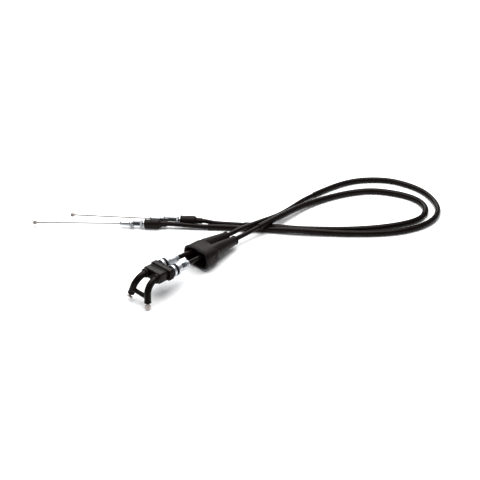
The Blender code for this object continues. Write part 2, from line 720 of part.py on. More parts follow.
def make_carb_end(label, cable):
    """Bare wire with its nipple, nose tube, stud with two nuts and a washer, ferrule and boot."""
    heading = (0, 0, math.radians(cable["carb_heading"]))
    frame = add_empty(f"{label}_carb_axis", Vector(cable["carb_at"]) * MM, heading)
    tip, stud_front = cable["nose_tip"], cable["stud_front"]
    ferrule = cable["ferrule"]
    bevel = 0.4 * MM

    wire_end = tip + 14.0 * MM
    turned(
        f"{label}_carb_wire",
        ((0.0, 0.0), (0.0, WIRE_R), (wire_end, WIRE_R), (wire_end, 0.0)),
        "wire_steel",
        sides=12,
        parent=frame,
    )
    make_nipple(f"{label}_carb_nipple", NIPPLE_R, NIPPLE_LENGTH, 62.0, "zinc", parent=frame)

    nose_rear = stud_front + NOSE_INSERT
    turned(
        f"{label}_nose_tube",
        (
            (tip, WIRE_BORE_R),
            (tip, WIRE_BORE_R + bevel),
            (tip + 1.4 * MM, NOSE_R - bevel / 2),
            (tip + 3.4 * MM, NOSE_R),
            (stud_front - GAP, NOSE_R),
            (stud_front - GAP, NOSE_SHANK_R),
            (nose_rear, NOSE_SHANK_R),
            (nose_rear, WIRE_BORE_R),
        ),
        "zinc",
        parent=frame,
    )
    socket_rear = nose_rear + GAP
    stud_rear = ferrule - GAP
    turned(
        f"{label}_stud",
        (
            (stud_front, NOSE_SHANK_R + GAP),
            (stud_front, STUD_R - bevel / 2),
            (stud_front + bevel, STUD_R),
            (stud_rear, STUD_R),
            (stud_rear, WIRE_BORE_R),
            (socket_rear, WIRE_BORE_R),
            (socket_rear, NOSE_SHANK_R + GAP),
        ),
        "zinc",
        parent=frame,
    )
    bore = STUD_R + GAP
    corner = NUT_FLAT / math.sqrt(3.0)
    for word in ("front_nut", "rear_nut"):
        turned(
            f"{label}_{word}",
            (
                (0.0, bore),
                (0.0, NUT_FACE_R),
                (bevel, corner),
                (NUT_LENGTH - bevel, corner),
                (NUT_LENGTH, NUT_FACE_R),
                (NUT_LENGTH, bore),
            ),
            "zinc",
            sides=24,
            hexed=(2, 3),
            parent=frame,
            location=(cable[word], 0, 0),
        )
    turned(
        f"{label}_washer",
        ((0.0, bore), (0.0, WASHER_R), (WASHER_LENGTH, WASHER_R), (WASHER_LENGTH, bore)),
        "zinc",
        parent=frame,
        location=(cable["washer"], 0, 0),
    )
    cup_front = FERRULE_LENGTH - FERRULE_CUP
    turned(
        f"{label}_ferrule",
        (
            (0.0, WIRE_BORE_R),
            (0.0, FERRULE_R - bevel),
            (bevel, FERRULE_R),
            (FERRULE_LENGTH, FERRULE_R),
            (FERRULE_LENGTH, SLEEVE_BORE_R),
            (cup_front, SLEEVE_BORE_R),
            (cup_front, WIRE_BORE_R),
        ),
        "zinc",
        parent=frame,
        location=(ferrule, 0, 0),
    )
    turned(
        f"{label}_carb_boot",
        (
            (0.0, CARB_BOOT_BORE_R),
            (0.0, CARB_BOOT_LIP_R - bevel),
            (bevel, CARB_BOOT_LIP_R),
            (2.0 * MM, CARB_BOOT_LIP_R),
            (2.4 * MM, CARB_BOOT_R),
            (CARB_BOOT_BODY - 1.2 * MM, CARB_BOOT_R),
            (CARB_BOOT_BODY, CARB_BOOT_NECK_R + 0.6 * MM),
            (CARB_BOOT_BODY + 1.0 * MM, CARB_BOOT_NECK_R),
            (CARB_BOOT_LENGTH - bevel, CARB_BOOT_NECK_R),
            (CARB_BOOT_LENGTH, CARB_BOOT_NECK_R - bevel),
            (CARB_BOOT_LENGTH, SLEEVE_BORE_R),
            (CARB_BOOT_CAVITY + 1.0 * MM, SLEEVE_BORE_R),
            (CARB_BOOT_CAVITY, CARB_BOOT_BORE_R),
        ),
        "satin_rubber",
        parent=frame,
        location=(cable["carb_boot"], 0, 0),
    )


# ---------------------------------------------------------------- assembly


def build():
    clear_scene()
    head = add_empty("head_axis", HEAD_AT, (0, HEAD_PITCH, 0))
    make_elbow_pair(head)
    make_grip_boot(head)
    paths = {}
    for label, cable in CABLES.items():
        side = cable["side"]
        make_block_half(label, side, head)
        make_adjuster(label, side, head)
        make_grip_wire(label, side, head, cable["grip_nipple"])
        make_carb_end(label, cable)
        paths[label] = conduit_path(cable)
        make_conduit(f"{label}_conduit", paths[label])
    for name, label, first, last, radius in SLEEVES:
        run = stretch(paths[label], first, last)
        swept(name, run, radius, "conduit_black", SLEEVE_BORE_R, 8)


build()
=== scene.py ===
"""Looks for the throttle cable set: a push and a pull cable with their guide, boots and end fittings."""

import json
import math

import bmesh
import bpy
import numpy as np
from mathutils import Euler, Matrix, Vector


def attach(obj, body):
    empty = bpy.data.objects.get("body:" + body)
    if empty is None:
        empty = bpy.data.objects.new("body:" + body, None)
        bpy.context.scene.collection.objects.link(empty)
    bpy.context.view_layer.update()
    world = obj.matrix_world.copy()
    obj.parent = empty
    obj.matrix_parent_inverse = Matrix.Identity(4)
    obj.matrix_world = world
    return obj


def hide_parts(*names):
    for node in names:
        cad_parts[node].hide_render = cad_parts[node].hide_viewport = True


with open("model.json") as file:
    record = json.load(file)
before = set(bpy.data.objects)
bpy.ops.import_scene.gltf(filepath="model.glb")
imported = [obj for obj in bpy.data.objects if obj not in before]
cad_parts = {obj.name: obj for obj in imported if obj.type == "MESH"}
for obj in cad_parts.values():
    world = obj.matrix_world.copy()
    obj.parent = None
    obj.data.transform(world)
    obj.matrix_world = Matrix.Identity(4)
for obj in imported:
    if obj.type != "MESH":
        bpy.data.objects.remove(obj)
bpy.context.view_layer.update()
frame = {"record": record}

MM = 0.001
GAP = 0.3

BODY_OF = {node: body for body, nodes in frame["record"]["behaviour"]["bodies"].items() for node in nodes}

# Every length below is in millimetres
HEAD_AT = (-11.8, 0.0, 27.45)
HEAD_PITCH = 7.0
SPACING = 17.0
SPACING_BEHIND_BOOT = 13.0
CONDUIT_R = 2.9
WIRE_R = 0.8
WIRE_BORE_R = 1.4
# How far a wire's end reaches into its elbow or nose tube
WIRE_INSIDE = 14.0
BORE_R = CONDUIT_R + GAP

CABLES = {
    "pull": {
        "side": 1.0,
        "route": (
            (145.1, 4.8, 10), (158.9, 0.7, 10.8), (179.3, -5, 10.7), (200.3, -7.5, 8.2), (230, -7.2, 5.4),
            (260.3, -6.5, 4.2), (288.2, -10, 3.8), (320.2, -17.1, 3.8), (347.4, -28.6, 3.8),
            (367.3, -45.5, 3.8), (381.1, -66, 3.8), (387.1, -91.1, 3.8), (385.9, -113.3, 3.8),
            (375.9, -135.7, 3.8), (357.4, -154.4, 3.8), (332.7, -161.8, 3.8), (308.2, -158.1, 3.8),
            (285.5, -147.6, 3.8), (263.8, -131, 3.8), (242.6, -109, 3.8), (223.3, -85.8, 4.3),
            (205, -62, 5.3), (190.2, -41.4, 5.6), (176, -19.2, 4.3), (162.6, -0.3, 3.8),
            (149.2, 18.7, 3.8), (133.5, 39.4, 3.9), (119.4, 56.8, 4.6),
        ),
        "carb_at": (-11.3, 216.4, 6.3),
        "carb_heading": -50.19,
        "nose_tip": 108.4,
        "stud_front": 121.0,
        "thread_front": 125.9,
        "front_nut": 121.3,
        "washer": 124.6,
        "rear_nut": 134.4,
        "ferrule": 137.8,
        "carb_boot": 140.0,
    },
    "push": {
        "side": -1.0,
        "route": (
            (139.6, -8.2, 10.9), (166.3, -12.5, 12.2), (188.4, -14.4, 11.6), (216.7, -15.5, 9.2),
            (244, -17.1, 6.6), (271.1, -22.9, 4.7), (298.2, -32.9, 4.1), (321.7, -46.1, 4.1),
            (341.1, -62.9, 4.1), (353.2, -83.5, 4.1), (359.8, -104.4, 4.1), (359.8, -123.1, 4.1),
            (347.8, -141.4, 4.1), (326.1, -147.9, 4.1), (303.1, -141.2, 4.1), (281.5, -127.7, 3.8),
            (258.8, -109.3, 3.7), (237, -87.7, 3.7), (217.5, -64.9, 3.7), (200.6, -43, 3.7),
            (187.1, -22.1, 3.7), (174.6, -2.8, 3.7), (162.1, 14.5, 3.7), (149.1, 32.5, 3.9),
            (138.6, 46.6, 4.9),
        ),
        "carb_at": (31.9, 194.5, 6.3),
        "carb_heading": -53.98,
        "nose_tip": 101.2,
        "stud_front": 115.3,
        "thread_front": 125.0,
        "front_nut": 115.6,
        "washer": 118.9,
        "rear_nut": 135.6,
        "ferrule": 139.0,
        "carb_boot": 140.8,
    },
}
SLEEVES = (
    ("pull_loop_sleeve", "pull", 0.285, 0.907, 3.7),
    ("push_grip_sleeve", "push", 0.172, 0.566, 4.0),
    ("push_carb_sleeve", "push", 0.568, 0.890, 3.6),
)


# ---------------------------------------------------------------- materials


def procedural(
    name, colour, second_colour, roughness, metallic=0.0, blotch=90.0, grain=1400.0, height=0.00004,
    squeeze=(1, 1, 1), **fixed
):
    """A material whose colour and roughness drift over the surface and whose grain is in its bump.

    roughness is the pair it drifts between. blotch and grain are features per metre, height is the
    grain's in metres, and squeeze scales the grain's three directions.
    """
    made = bpy.data.materials.new(name)
    made.use_nodes = True
    tree = made.node_tree
    shader = tree.nodes["Principled BSDF"]
    shader.inputs["Metallic"].default_value = metallic
    for socket, value in fixed.items():
        shader.inputs[socket.replace("_", " ")].default_value = value
    place = tree.nodes.new("ShaderNodeTexCoord")

    drift = tree.nodes.new("ShaderNodeTexNoise")
    drift.inputs["Scale"].default_value = blotch
    drift.inputs["Detail"].default_value = 5.0
    tree.links.new(place.outputs["Object"], drift.inputs["Vector"])
    ramp = tree.nodes.new("ShaderNodeValToRGB")
    ramp.color_ramp.elements[0].position = 0.36
    ramp.color_ramp.elements[0].color = (*colour, 1.0)
    ramp.color_ramp.elements[1].position = 0.68
    ramp.color_ramp.elements[1].color = (*second_colour, 1.0)
    tree.links.new(drift.outputs["Fac"], ramp.inputs["Fac"])
    tree.links.new(ramp.outputs["Color"], shader.inputs["Base Color"])

    scuff = tree.nodes.new("ShaderNodeTexNoise")
    scuff.inputs["Scale"].default_value = blotch * 4.0
    scuff.inputs["Detail"].default_value = 6.0
    tree.links.new(place.outputs["Object"], scuff.inputs["Vector"])
    spread = tree.nodes.new("ShaderNodeMapRange")
    spread.inputs["From Min"].default_value = 0.3
    spread.inputs["From Max"].default_value = 0.7
    spread.inputs["To Min"].default_value = roughness[0]
    spread.inputs["To Max"].default_value = roughness[1]
    tree.links.new(scuff.outputs["Fac"], spread.inputs["Value"])
    tree.links.new(spread.outputs["Result"], shader.inputs["Roughness"])

    stretch = tree.nodes.new("ShaderNodeMapping")
    stretch.inputs["Scale"].default_value = squeeze
    tree.links.new(place.outputs["Object"], stretch.inputs["Vector"])
    fine = tree.nodes.new("ShaderNodeTexNoise")
    fine.inputs["Scale"].default_value = grain
    fine.inputs["Detail"].default_value = 3.0
    tree.links.new(stretch.outputs["Vector"], fine.inputs["Vector"])
    bump = tree.nodes.new("ShaderNodeBump")
    bump.inputs["Strength"].default_value = 0.6
    bump.inputs["Distance"].default_value = height
    tree.links.new(fine.outputs["Fac"], bump.inputs["Height"])
    tree.links.new(bump.outputs["Normal"], shader.inputs["Normal"])
    return made


# Blacks reflect little, and slightly warm
BLACK = {"Specular_IOR_Level": 0.075, "Specular_Tint": (1.0, 0.87, 0.85, 1.0)}
LOOKS = {
    "vinyl": procedural(
        "vinyl", (0.0026, 0.0017, 0.0016), (0.0046, 0.0031, 0.0030), (0.11, 0.19), grain=900,
        height=0.00003, **BLACK
    ),
    "hose": procedural(
        "hose", (0.0030, 0.0019, 0.0018), (0.0052, 0.0036, 0.0034), (0.15, 0.25), grain=1500,
        height=0.00004, **BLACK
    ),
    "boot_rubber": procedural(
        "boot_rubber", (0.0036, 0.0024, 0.0022), (0.0066, 0.0047, 0.0044), (0.30, 0.44), blotch=60,
        grain=1700, height=0.00008, **BLACK
    ),
    "seal_rubber": procedural(
        "seal_rubber", (0.0045, 0.0034, 0.0033), (0.0070, 0.0056, 0.0054), (0.34, 0.46), grain=2500,
        height=0.00002, **BLACK
    ),
    "moulding": procedural(
        "moulding", (0.0030, 0.0020, 0.0019), (0.0054, 0.0038, 0.0036), (0.15, 0.26), blotch=120,
        grain=2200, height=0.00004, **BLACK
    ),
    "zinc": procedural(
        "zinc", (0.50, 0.52, 0.54), (0.36, 0.38, 0.41), (0.26, 0.38), metallic=1.0, blotch=260, grain=90,
        height=0.00001, squeeze=(40, 1, 1),
    ),
    "zinc_dull": procedural(
        "zinc_dull", (0.34, 0.355, 0.365), (0.20, 0.21, 0.22), (0.22, 0.36), metallic=1.0, blotch=420,
        grain=1500, height=0.00002,
    ),
    # Dark metal for the middle of each barrel flat: a painted dark reflection, with a fine grain in its bump
    "painted_reflection": procedural(
        "painted_reflection", (0.13, 0.13, 0.14), (0.05, 0.05, 0.055), (0.36, 0.50), metallic=1.0, blotch=900, grain=2400,
        height=0.00006,
    ),
    "nipple": procedural(
        "nipple", (0.52, 0.47, 0.44), (0.36, 0.32, 0.30), (0.30, 0.46), metallic=1.0, blotch=500, grain=2000,
        height=0.00002,
    ),
    "zinc_thread": procedural(
        "zinc_thread", (0.11, 0.11, 0.115), (0.05, 0.05, 0.055), (0.26, 0.40), metallic=1.0, blotch=500,
        grain=2500, height=0.00002,
    ),
    "strand": procedural(
        "strand", (0.15, 0.138, 0.13), (0.065, 0.058, 0.054), (0.26, 0.42), metallic=1.0, blotch=300,
        grain=3000, height=0.00002,
    ),
}


# ---------------------------------------------------------------- mesh helpers


def to_object(name, vertices, faces, look, matrix=Matrix(), sharp=40.0):
    """A mesh piece, given in millimetres in the frame that matrix stands for."""
    mesh = bpy.data.meshes.new(name)
    mesh.from_pydata([tuple(c * MM for c in v) for v in vertices], [], faces)
    body = bmesh.new()
    body.from_mesh(mesh)
    bmesh.ops.recalc_face_normals(body, faces=body.faces)
    body.to_mesh(mesh)
    body.free()
    mesh.shade_smooth()
    mesh.set_sharp_from_angle(angle=math.radians(sharp))
    mesh.materials.append(LOOKS[look])
    piece = bpy.data.objects.new(name, mesh)
    piece.matrix_world = matrix
    bpy.context.scene.collection.objects.link(piece)
    return piece


def stand_for(piece, node):
    """The piece takes a CAD node's place and body: it joins the node's body and the node is hidden."""
    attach(piece, BODY_OF[node])
    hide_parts(node)
    return piece


def frame_at(base, offset=(0, 0, 0), turn=0.0):
    """A frame moved by an offset in millimetres along base's own axes, then turned about its X axis."""
    shift = Matrix.Translation(Vector(offset) * MM)
    return base @ shift @ Matrix.Rotation(math.radians(turn), 4, "X")


def bridge(ring_count, sides, closed):
    """Quads between neighbouring rings, and from the last to the first if closed."""
    faces = []
    for i in range(ring_count if closed else ring_count - 1):
        a, b = i * sides, (i + 1) % ring_count * sides
        for k in range(sides):
            n = (k + 1) % sides
            faces.append((a + k, a + n, b + n, b + k))
    return faces


def capped(ring_count, sides):
    faces = bridge(ring_count, sides, False)
    faces.append(tuple(range(sides)))
    faces.append(tuple(range((ring_count - 1) * sides, ring_count * sides))[::-1])
    return faces


def eased(outline, radius, steps=4, closed=True):
    """The outline with each corner rounded. Points may have any number of coordinates."""
    points = [np.array(p, float) for p in outline]
    count = len(points)
    made = []
    for i, corner in enumerate(points):
        if not closed and i in (0, count - 1):
            made.append(corner)
            continue
        before, after = points[i - 1] - corner, points[(i + 1) % count] - corner
        lengths = np.linalg.norm(before), np.linalg.norm(after)
        reach = min(radius, 0.45 * lengths[0], 0.45 * lengths[1])
        start, end = corner + before / lengths[0] * reach, corner + after / lengths[1] * reach
        for t in np.linspace(0.0, 1.0, steps + 1):
            made.append((1 - t) ** 2 * start + 2 * t * (1 - t) * corner + t * t * end)
    return [tuple(p) for p in made]


def lathe(outline, sides=72, shape=None):
    """Vertices and faces of an outline of (x, radius) turned about X.

    An outline that starts and ends on the axis is solid. shape gives the radius at (x, radius, angle).
    """
    solid = outline[0][1] < 1e-6
    rings = outline[1:-1] if solid else outline
    vertices = []
    for x, radius in rings:
        for k in range(sides):
            angle = 2 * math.pi * k / sides
            r = shape(x, radius, angle) if shape else radius
            vertices.append((x, r * math.cos(angle), r * math.sin(angle)))
    return vertices, capped(len(rings), sides) if solid else bridge(len(rings), sides, True)


def loft(sections):
    count = len(sections[0])
    return [p for s in sections for p in s], capped(len(sections), count)


def frames_along(path):
    """Centre and two directions across it at each point of a path, without twist."""
    points = np.array([tuple(p) for p in path], float)
    ahead = np.gradient(points, axis=0)
    ahead /= np.linalg.norm(ahead, axis=1)[:, None]
    across = np.cross((0, 0, 1) if abs(ahead[0][2]) < 0.9 else (1, 0, 0), ahead[0])
    made = []
    for point, way in zip(points, ahead):
        across = across - way * across.dot(way)
        across /= np.linalg.norm(across)
        made.append((point, across, np.cross(way, across)))
    return made


def tube_along(path, outer, inner=None, sides=32):
    """A bar, or a tube where it has an inner radius, along a path. Radii are one per point or one for all."""
    frames = frames_along(path)
    radii = [outer] * len(frames) if np.isscalar(outer) else outer
    turns = [2 * math.pi * k / sides for k in range(sides)]

    def rings(places, sizes):
        return [
            tuple(c + (u * math.cos(t) + v * math.sin(t)) * r)
            for (c, u, v), r in zip(places, sizes)
            for t in turns
        ]

    if inner is None:
        return rings(frames, radii), capped(len(frames), sides)
    vertices = rings(frames, radii) + rings(frames[::-1], [inner] * len(frames))
    return vertices, bridge(2 * len(frames), sides, True)


def settle(piece):
    """Keeps what the piece's modifiers make as its mesh."""
    graph = bpy.context.evaluated_depsgraph_get()
    made = bpy.data.meshes.new_from_object(piece.evaluated_get(graph))
    piece.modifiers.clear()
    piece.data = made
    return piece


def boolean(piece, operation, tools):
    """Joins tools to the piece or cuts them out of it, and removes them."""
    for tool in tools:
        step = piece.modifiers.new(tool.name, "BOOLEAN")
        step.operation = operation
        step.solver = "EXACT"
        step.object = tool
    settle(piece)
    for tool in tools:
        bpy.data.objects.remove(tool, do_unlink=True)
    return piece


def soften(piece, voxel, rounds, look):
    """Rebuilds the mesh evenly and smooths it, so that corners get the small radii of a moulding."""
    step = piece.modifiers.new("even", "REMESH")
    step.mode = "VOXEL"
    step.voxel_size = voxel * MM
    step = piece.modifiers.new("round", "SMOOTH")
    step.factor = 0.5
    step.iterations = rounds
    settle(piece)
    piece.data.materials.clear()
    piece.data.materials.append(LOOKS[look])
    piece.data.shade_smooth()
    return piece


# ---------------------------------------------------------------- frames and routes


def standing(at, pitch=0.0, heading=0.0):
    """A frame at a point in millimetres, pitched about Y and then turned about Z, in degrees."""
    return Matrix.LocRotScale(Vector(at) * MM, Euler((0, math.radians(pitch), math.radians(heading))), None)


HEAD = standing(HEAD_AT, pitch=HEAD_PITCH)
CARB = {label: standing(cable["carb_at"], heading=cable["carb_heading"]) for label, cable in CABLES.items()}


def spline_through(points, start_slope, end_slope, step):
    """Evenly spaced points on the clamped cubic spline through the points."""
    knots = np.array([tuple(p) for p in points])
    spans = np.linalg.norm(np.diff(knots, axis=0), axis=1)
    n = len(knots)
    system = np.zeros((n, n))
    right = np.zeros((n, 3))
    chords = np.diff(knots, axis=0) / spans[:, None]
    system[0, :2] = 2 * spans[0], spans[0]
    right[0] = 6 * (chords[0] - np.array(start_slope))
    system[-1, -2:] = spans[-1], 2 * spans[-1]
    right[-1] = 6 * (np.array(end_slope) - chords[-1])
    for i in range(1, n - 1):
        system[i, i - 1 : i + 2] = spans[i - 1], 2 * (spans[i - 1] + spans[i]), spans[i]
        right[i] = 6 * (chords[i] - chords[i - 1])
    bend = np.linalg.solve(system, right)
    fine = []
    for i, h in enumerate(spans):
        for b in np.linspace(0.0, 1.0, 24, endpoint=False):
            a = 1.0 - b
            sag = (a**3 - a) * bend[i] + (b**3 - b) * bend[i + 1]
            fine.append(a * knots[i] + b * knots[i + 1] + h * h / 6 * sag)
    fine = np.array(fine + [knots[-1]])
    along = np.concatenate([[0.0], np.cumsum(np.linalg.norm(np.diff(fine, axis=0), axis=1))])
    stops = np.linspace(0.0, along[-1], round(along[-1] / step) + 1)
    return np.stack([np.interp(stops, along, fine[:, k]) for k in range(3)], axis=1)


def conduit_path(label):
    """The conduit's centreline in metres, every 2 mm."""
    cable = CABLES[label]
    side = cable["side"] * SPACING / 2
    head, carb = HEAD, CARB[label]
    start = head @ (Vector((CONDUIT_START, side, 0)) * MM)
    leave = head @ (Vector((BOOT_AT + LEG_END + 2, cable["side"] * SPACING_BEHIND_BOOT / 2, 0)) * MM)
    arrive = carb @ (Vector((cable["carb_boot"] + CARB_BOOT_LENGTH, 0, 0)) * MM)
    end = carb @ (Vector((cable["ferrule"] + FERRULE_LENGTH - FERRULE_CUP + GAP, 0, 0)) * MM)
    route = [leave] + [Vector(p) * MM for p in cable["route"]] + [arrive]
    slopes = (leave - start).normalized(), (end - arrive).normalized()
    loop = spline_through(route, *slopes, 0.002)
    return np.concatenate([np.linspace(start, leave, 40)[:-1], loop, np.linspace(arrive, end, 10)[1:]])


def distances(path):
    return np.concatenate([[0.0], np.cumsum(np.linalg.norm(np.diff(path, axis=0), axis=1))])


# ---------------------------------------------------------------- head


CONDUIT_START = 45.0
BOOT_AT = 71.4
CUP_DROP = 4.4
BOOT_TILT = 3.1
LEG_ROOT = 18.0
LEG_END = 62.8
# Distance of a leg's axis from the middle at its root and at its end, and its height above the cables
LEG_LEAN = (8.5, 6.8, -0.6)
LEG_BORE_LEAN = (8.0, 7.05, -1.15)
CARB_BOOT_LENGTH = 28.5
FERRULE_LENGTH = 5.6
FERRULE_CUP = 4.4

ELBOW_R = 3.9
ELBOW_BORE_R = 1.9
ELBOW_ROOT = 10.0
ELBOW_LEAD = 1.0
ELBOW_BEND_R = 15.8
ELBOW_BEND = math.radians(81.0)
ELBOW_TAIL = 9.5
ELBOW_SPLAY = math.radians(13.0)
ELBOW_END = ELBOW_LEAD + ELBOW_BEND_R * ELBOW_BEND + ELBOW_TAIL
TIE_ABOVE_TIP = 6.3
TIE_R = 2.7
NIPPLE_STAND_OFF = 4.4


def elbow_point(distance):
    """A point on an elbow's centreline in its own plane, by distance from the block's front face."""
    past_lead = distance - ELBOW_LEAD
    turn = min(max(past_lead, 0.0) / ELBOW_BEND_R, ELBOW_BEND)
    tail = max(past_lead - ELBOW_BEND_R * ELBOW_BEND, 0.0)
    x = min(past_lead, 0.0) + ELBOW_LEAD + ELBOW_BEND_R * math.sin(turn) + tail * math.cos(ELBOW_BEND)
    z = ELBOW_BEND_R * (1 - math.cos(turn)) + tail * math.sin(ELBOW_BEND)
    return Vector((-x, 0, -z))


def in_head(point, side):
    """A point of an elbow's own plane, in the head's frame."""
    return Euler((side * ELBOW_SPLAY, 0, 0)).to_matrix() @ point + Vector((0, side * SPACING / 2, 0))


def make_elbow_pair():
    """Both elbows with their collars, tip lips and mould lines, and the bar between them."""
    stops = np.concatenate([np.linspace(-ELBOW_ROOT, 0, 6)[:-1], np.linspace(0, ELBOW_END, 44)])
    tools = []
    for side in (1.0, -1.0):
        path = [in_head(elbow_point(s), side) for s in stops]
        lip = [ELBOW_R + 0.25 * math.exp(-(((ELBOW_END - s - 1.2) / 0.9) ** 2)) for s in stops]
        tools.append(to_object("elbow", *tube_along(path, lip, ELBOW_BORE_R), "moulding", HEAD))
        collar = eased(((-3.3, 2.8), (-GAP, 2.8), (-GAP, 5.6), (-2.6, 5.6), (-3.3, 4.9)), 0.3)
        at = frame_at(HEAD, (0, side * SPACING / 2, 0))
        tools.append(to_object("collar", *lathe(collar, 56), "moulding", at))
        for way in (1.0, -1.0):
            seam = [in_head(elbow_point(s) + Vector((0, way * ELBOW_R, 0)), side) for s in stops[6:-1]]
            tools.append(to_object("seam", *tube_along(seam, 0.28, sides=8), "moulding", HEAD))
    tie_at = elbow_point(ELBOW_END - TIE_ABOVE_TIP)
    left, right = in_head(tie_at, 1.0), in_head(tie_at, -1.0)
    inset = Vector((0, ELBOW_BORE_R + 0.7, 0))
    bar = [(left - inset).lerp(right + inset, t) for t in np.linspace(0, 1, 25)]
    thick = [TIE_R + 0.35 * abs(2 * t - 1) ** 6 for t in np.linspace(0, 1, 25)]
    tools.append(to_object("tie", *tube_along(bar, thick, sides=32), "moulding", HEAD))
    pair = boolean(tools[0], "UNION", tools[1:])
    pair.name = "elbow_pair_fine"
    return stand_for(soften(pair, 0.26, 4, "moulding"), "elbow_pair")


# Guide block, front to rear: place, half width and half height
BLOCK_STEPS = (
    (0.0, 12.5, 5.5), (0.25, 12.9, 5.9), (0.6, 13.2, 6.2), (1.1, 13.3, 6.3), (11.6, 13.3, 6.3),
    (11.85, 13.2, 6.2), (12.0, 12.9, 5.9), (12.1, 12.2, 5.2), (13.2, 12.2, 5.2), (13.3, 15.0, 6.1),
    (13.45, 15.35, 6.45), (13.8, 15.5, 6.6), (19.6, 15.5, 6.6), (20.3, 15.3, 6.4), (20.7, 15.0, 6.1),
    (20.9, 14.6, 5.7),
)
BLOCK_BORE_R = ELBOW_R + GAP
BLOCK_CORNER_R = 2.6
BLOCK_SPLIT = 0.15
BLOCK_LENGTH = BLOCK_STEPS[-1][0]
# Grooves in the flange's side: the first one's place, their pitch, width, half height and floor
GROOVE_AT, GROOVE_PITCH, GROOVE_WIDTH, GROOVE_HALF_HEIGHT, GROOVE_FLOOR = 14.4, 1.5, 0.65, 4.4, 15.1


def block_section(x, half_width, half_height, side):
    corner = BLOCK_CORNER_R
    points = [(x, side * BLOCK_SPLIT, half_height)]
    for centre_z, start in ((half_height - corner, 90.0), (corner - half_height, 0.0)):
        for k in range(13):
            angle = math.radians(start - 7.5 * k)
            y = half_width - corner + corner * math.cos(angle)
            points.append((x, side * y, centre_z + corner * math.sin(angle)))
    points.append((x, side * BLOCK_SPLIT, -half_height))
    return points


def make_block_half(label, side):
    """Half the guide block: body, waist and grooved flange, with the cable's bore through it."""
    half = to_object("half", *loft([block_section(*step, side) for step in BLOCK_STEPS]), "moulding", HEAD)
    at = frame_at(HEAD, (0, side * SPACING / 2, 0))
    front, rear = -2.0, BLOCK_LENGTH + 3.1
    through = [(front, 0), (front, BLOCK_BORE_R), (rear, BLOCK_BORE_R), (rear, 0)]
    cuts = [to_object("bore", *lathe(through, 64), "moulding", at)]
    for k in range(4):
        x, z = GROOVE_AT + GROOVE_PITCH * k, GROOVE_HALF_HEIGHT
        box = [(x, -z), (x + GROOVE_WIDTH, -z), (x + GROOVE_WIDTH, z), (x, z)]
        sections = [[(a, side * y, b) for a, b in box] for y in (GROOVE_FLOOR, GROOVE_FLOOR + 1.9)]
        cuts.append(to_object("groove", *loft(sections), "moulding", HEAD))
    boolean(half, "DIFFERENCE", cuts)
    half.data.materials.clear()
    half.data.materials.append(LOOKS["moulding"])
    half.data.shade_smooth()
    half.data.set_sharp_from_angle(angle=math.radians(32))
    half.name = f"{label}_block_half_fine"
    return stand_for(half, f"{label}_block_half")


RING_AT, RING_MAJOR_R, RING_MINOR_R = 27.2, 6.3, 0.95
BARREL_R = 5.4
# How far each barrel is turned, and its flats, with a dark patch in the middle of each that is a painted
# reflection
BARREL_TURN = {"pull": -45.0, "push": 45.0}
FLAT_FROM, FLAT_TO, FLAT_AT = 35.2, 43.2, 4.55
PAINTED_REFLECTION_FROM, PAINTED_REFLECTION_TO, PAINTED_REFLECTION_HALF_WIDTH = 36.6, 42.0, 2.2


def make_adjuster(label, side):
    """Spigot with its disc, the O-ring on its seat, and the barrel with wrench flats, each with a painted
    dark reflection in its middle.
    """
    at = frame_at(HEAD, (0, side * SPACING / 2, 0))
    spigot = (
        (11.0, WIRE_BORE_R), (11.0, 3.9), (22.4, 3.9), (22.4, 6.9), (22.9, 7.2), (25.3, 7.2), (25.6, 6.9),
        (25.6, 5.0), (28.9, 5.0), (28.9, 3.2), (33.0, 3.2), (33.0, WIRE_BORE_R),
    )
    stand_for(to_object(f"{label}_spigot_fine", *lathe(eased(spigot, 0.18)), "zinc", at), f"{label}_spigot")
    turns = np.linspace(0, 2 * math.pi, 24, False)
    ring = [(RING_AT + RING_MINOR_R * math.cos(t), RING_MAJOR_R + RING_MINOR_R * math.sin(t)) for t in turns]
    stand_for(to_object(f"{label}_o_ring_fine", *lathe(ring), "seal_rubber", at), f"{label}_o_ring")

    def flats(x, radius, angle):
        if FLAT_FROM < x < FLAT_TO and radius > FLAT_AT:
            return min(radius, FLAT_AT / max(abs(math.sin(angle)), 1e-6))
        return radius

    barrel = eased(
        (
            (29.2, 3.5), (29.2, 6.9), (29.5, 7.2), (31.7, 7.2), (32.2, 6.7), (32.2, BARREL_R),
            (44.2, BARREL_R), (46.0, 4.5), (48.6, 4.5), (48.6, BORE_R), (44.7, BORE_R),
            (44.7, WIRE_BORE_R), (34.0, WIRE_BORE_R), (34.0, 3.5),
        ),
        0.22,
    )
    edges = []
    for (x, r), after in zip(barrel, barrel[1:] + barrel[:1]):
        edges.append((x, r))
        if r > 5.3 and after[1] > 5.3 and x < FLAT_FROM and after[0] > FLAT_TO:
            stops = FLAT_FROM - 0.01, FLAT_FROM + 0.01, PAINTED_REFLECTION_FROM, PAINTED_REFLECTION_TO, FLAT_TO - 0.01, FLAT_TO + 0.01
            edges += [(stop, BARREL_R) for stop in stops]
    turned = frame_at(at, turn=BARREL_TURN[label])
    piece = to_object(f"{label}_barrel_fine", *lathe(edges, 96, flats), "zinc", turned, sharp=30)
    # The middle of each flat takes the dark look, a painted reflection
    piece.data.materials.append(LOOKS["painted_reflection"])
    for face in piece.data.polygons:
        x, y, z = face.center / MM
        if PAINTED_REFLECTION_FROM < x < PAINTED_REFLECTION_TO and abs(y) < PAINTED_REFLECTION_HALF_WIDTH and abs(z) > FLAT_AT - 0.1:
            face.material_index = 1
    stand_for(piece, f"{label}_barrel")


def facing(forward, across):
    """Rotation whose X is forward and whose Z is as near to across as it can be."""
    x = forward.normalized()
    z = (across - x * across.dot(x)).normalized()
    return Matrix((x, z.cross(x), z)).transposed().to_4x4()


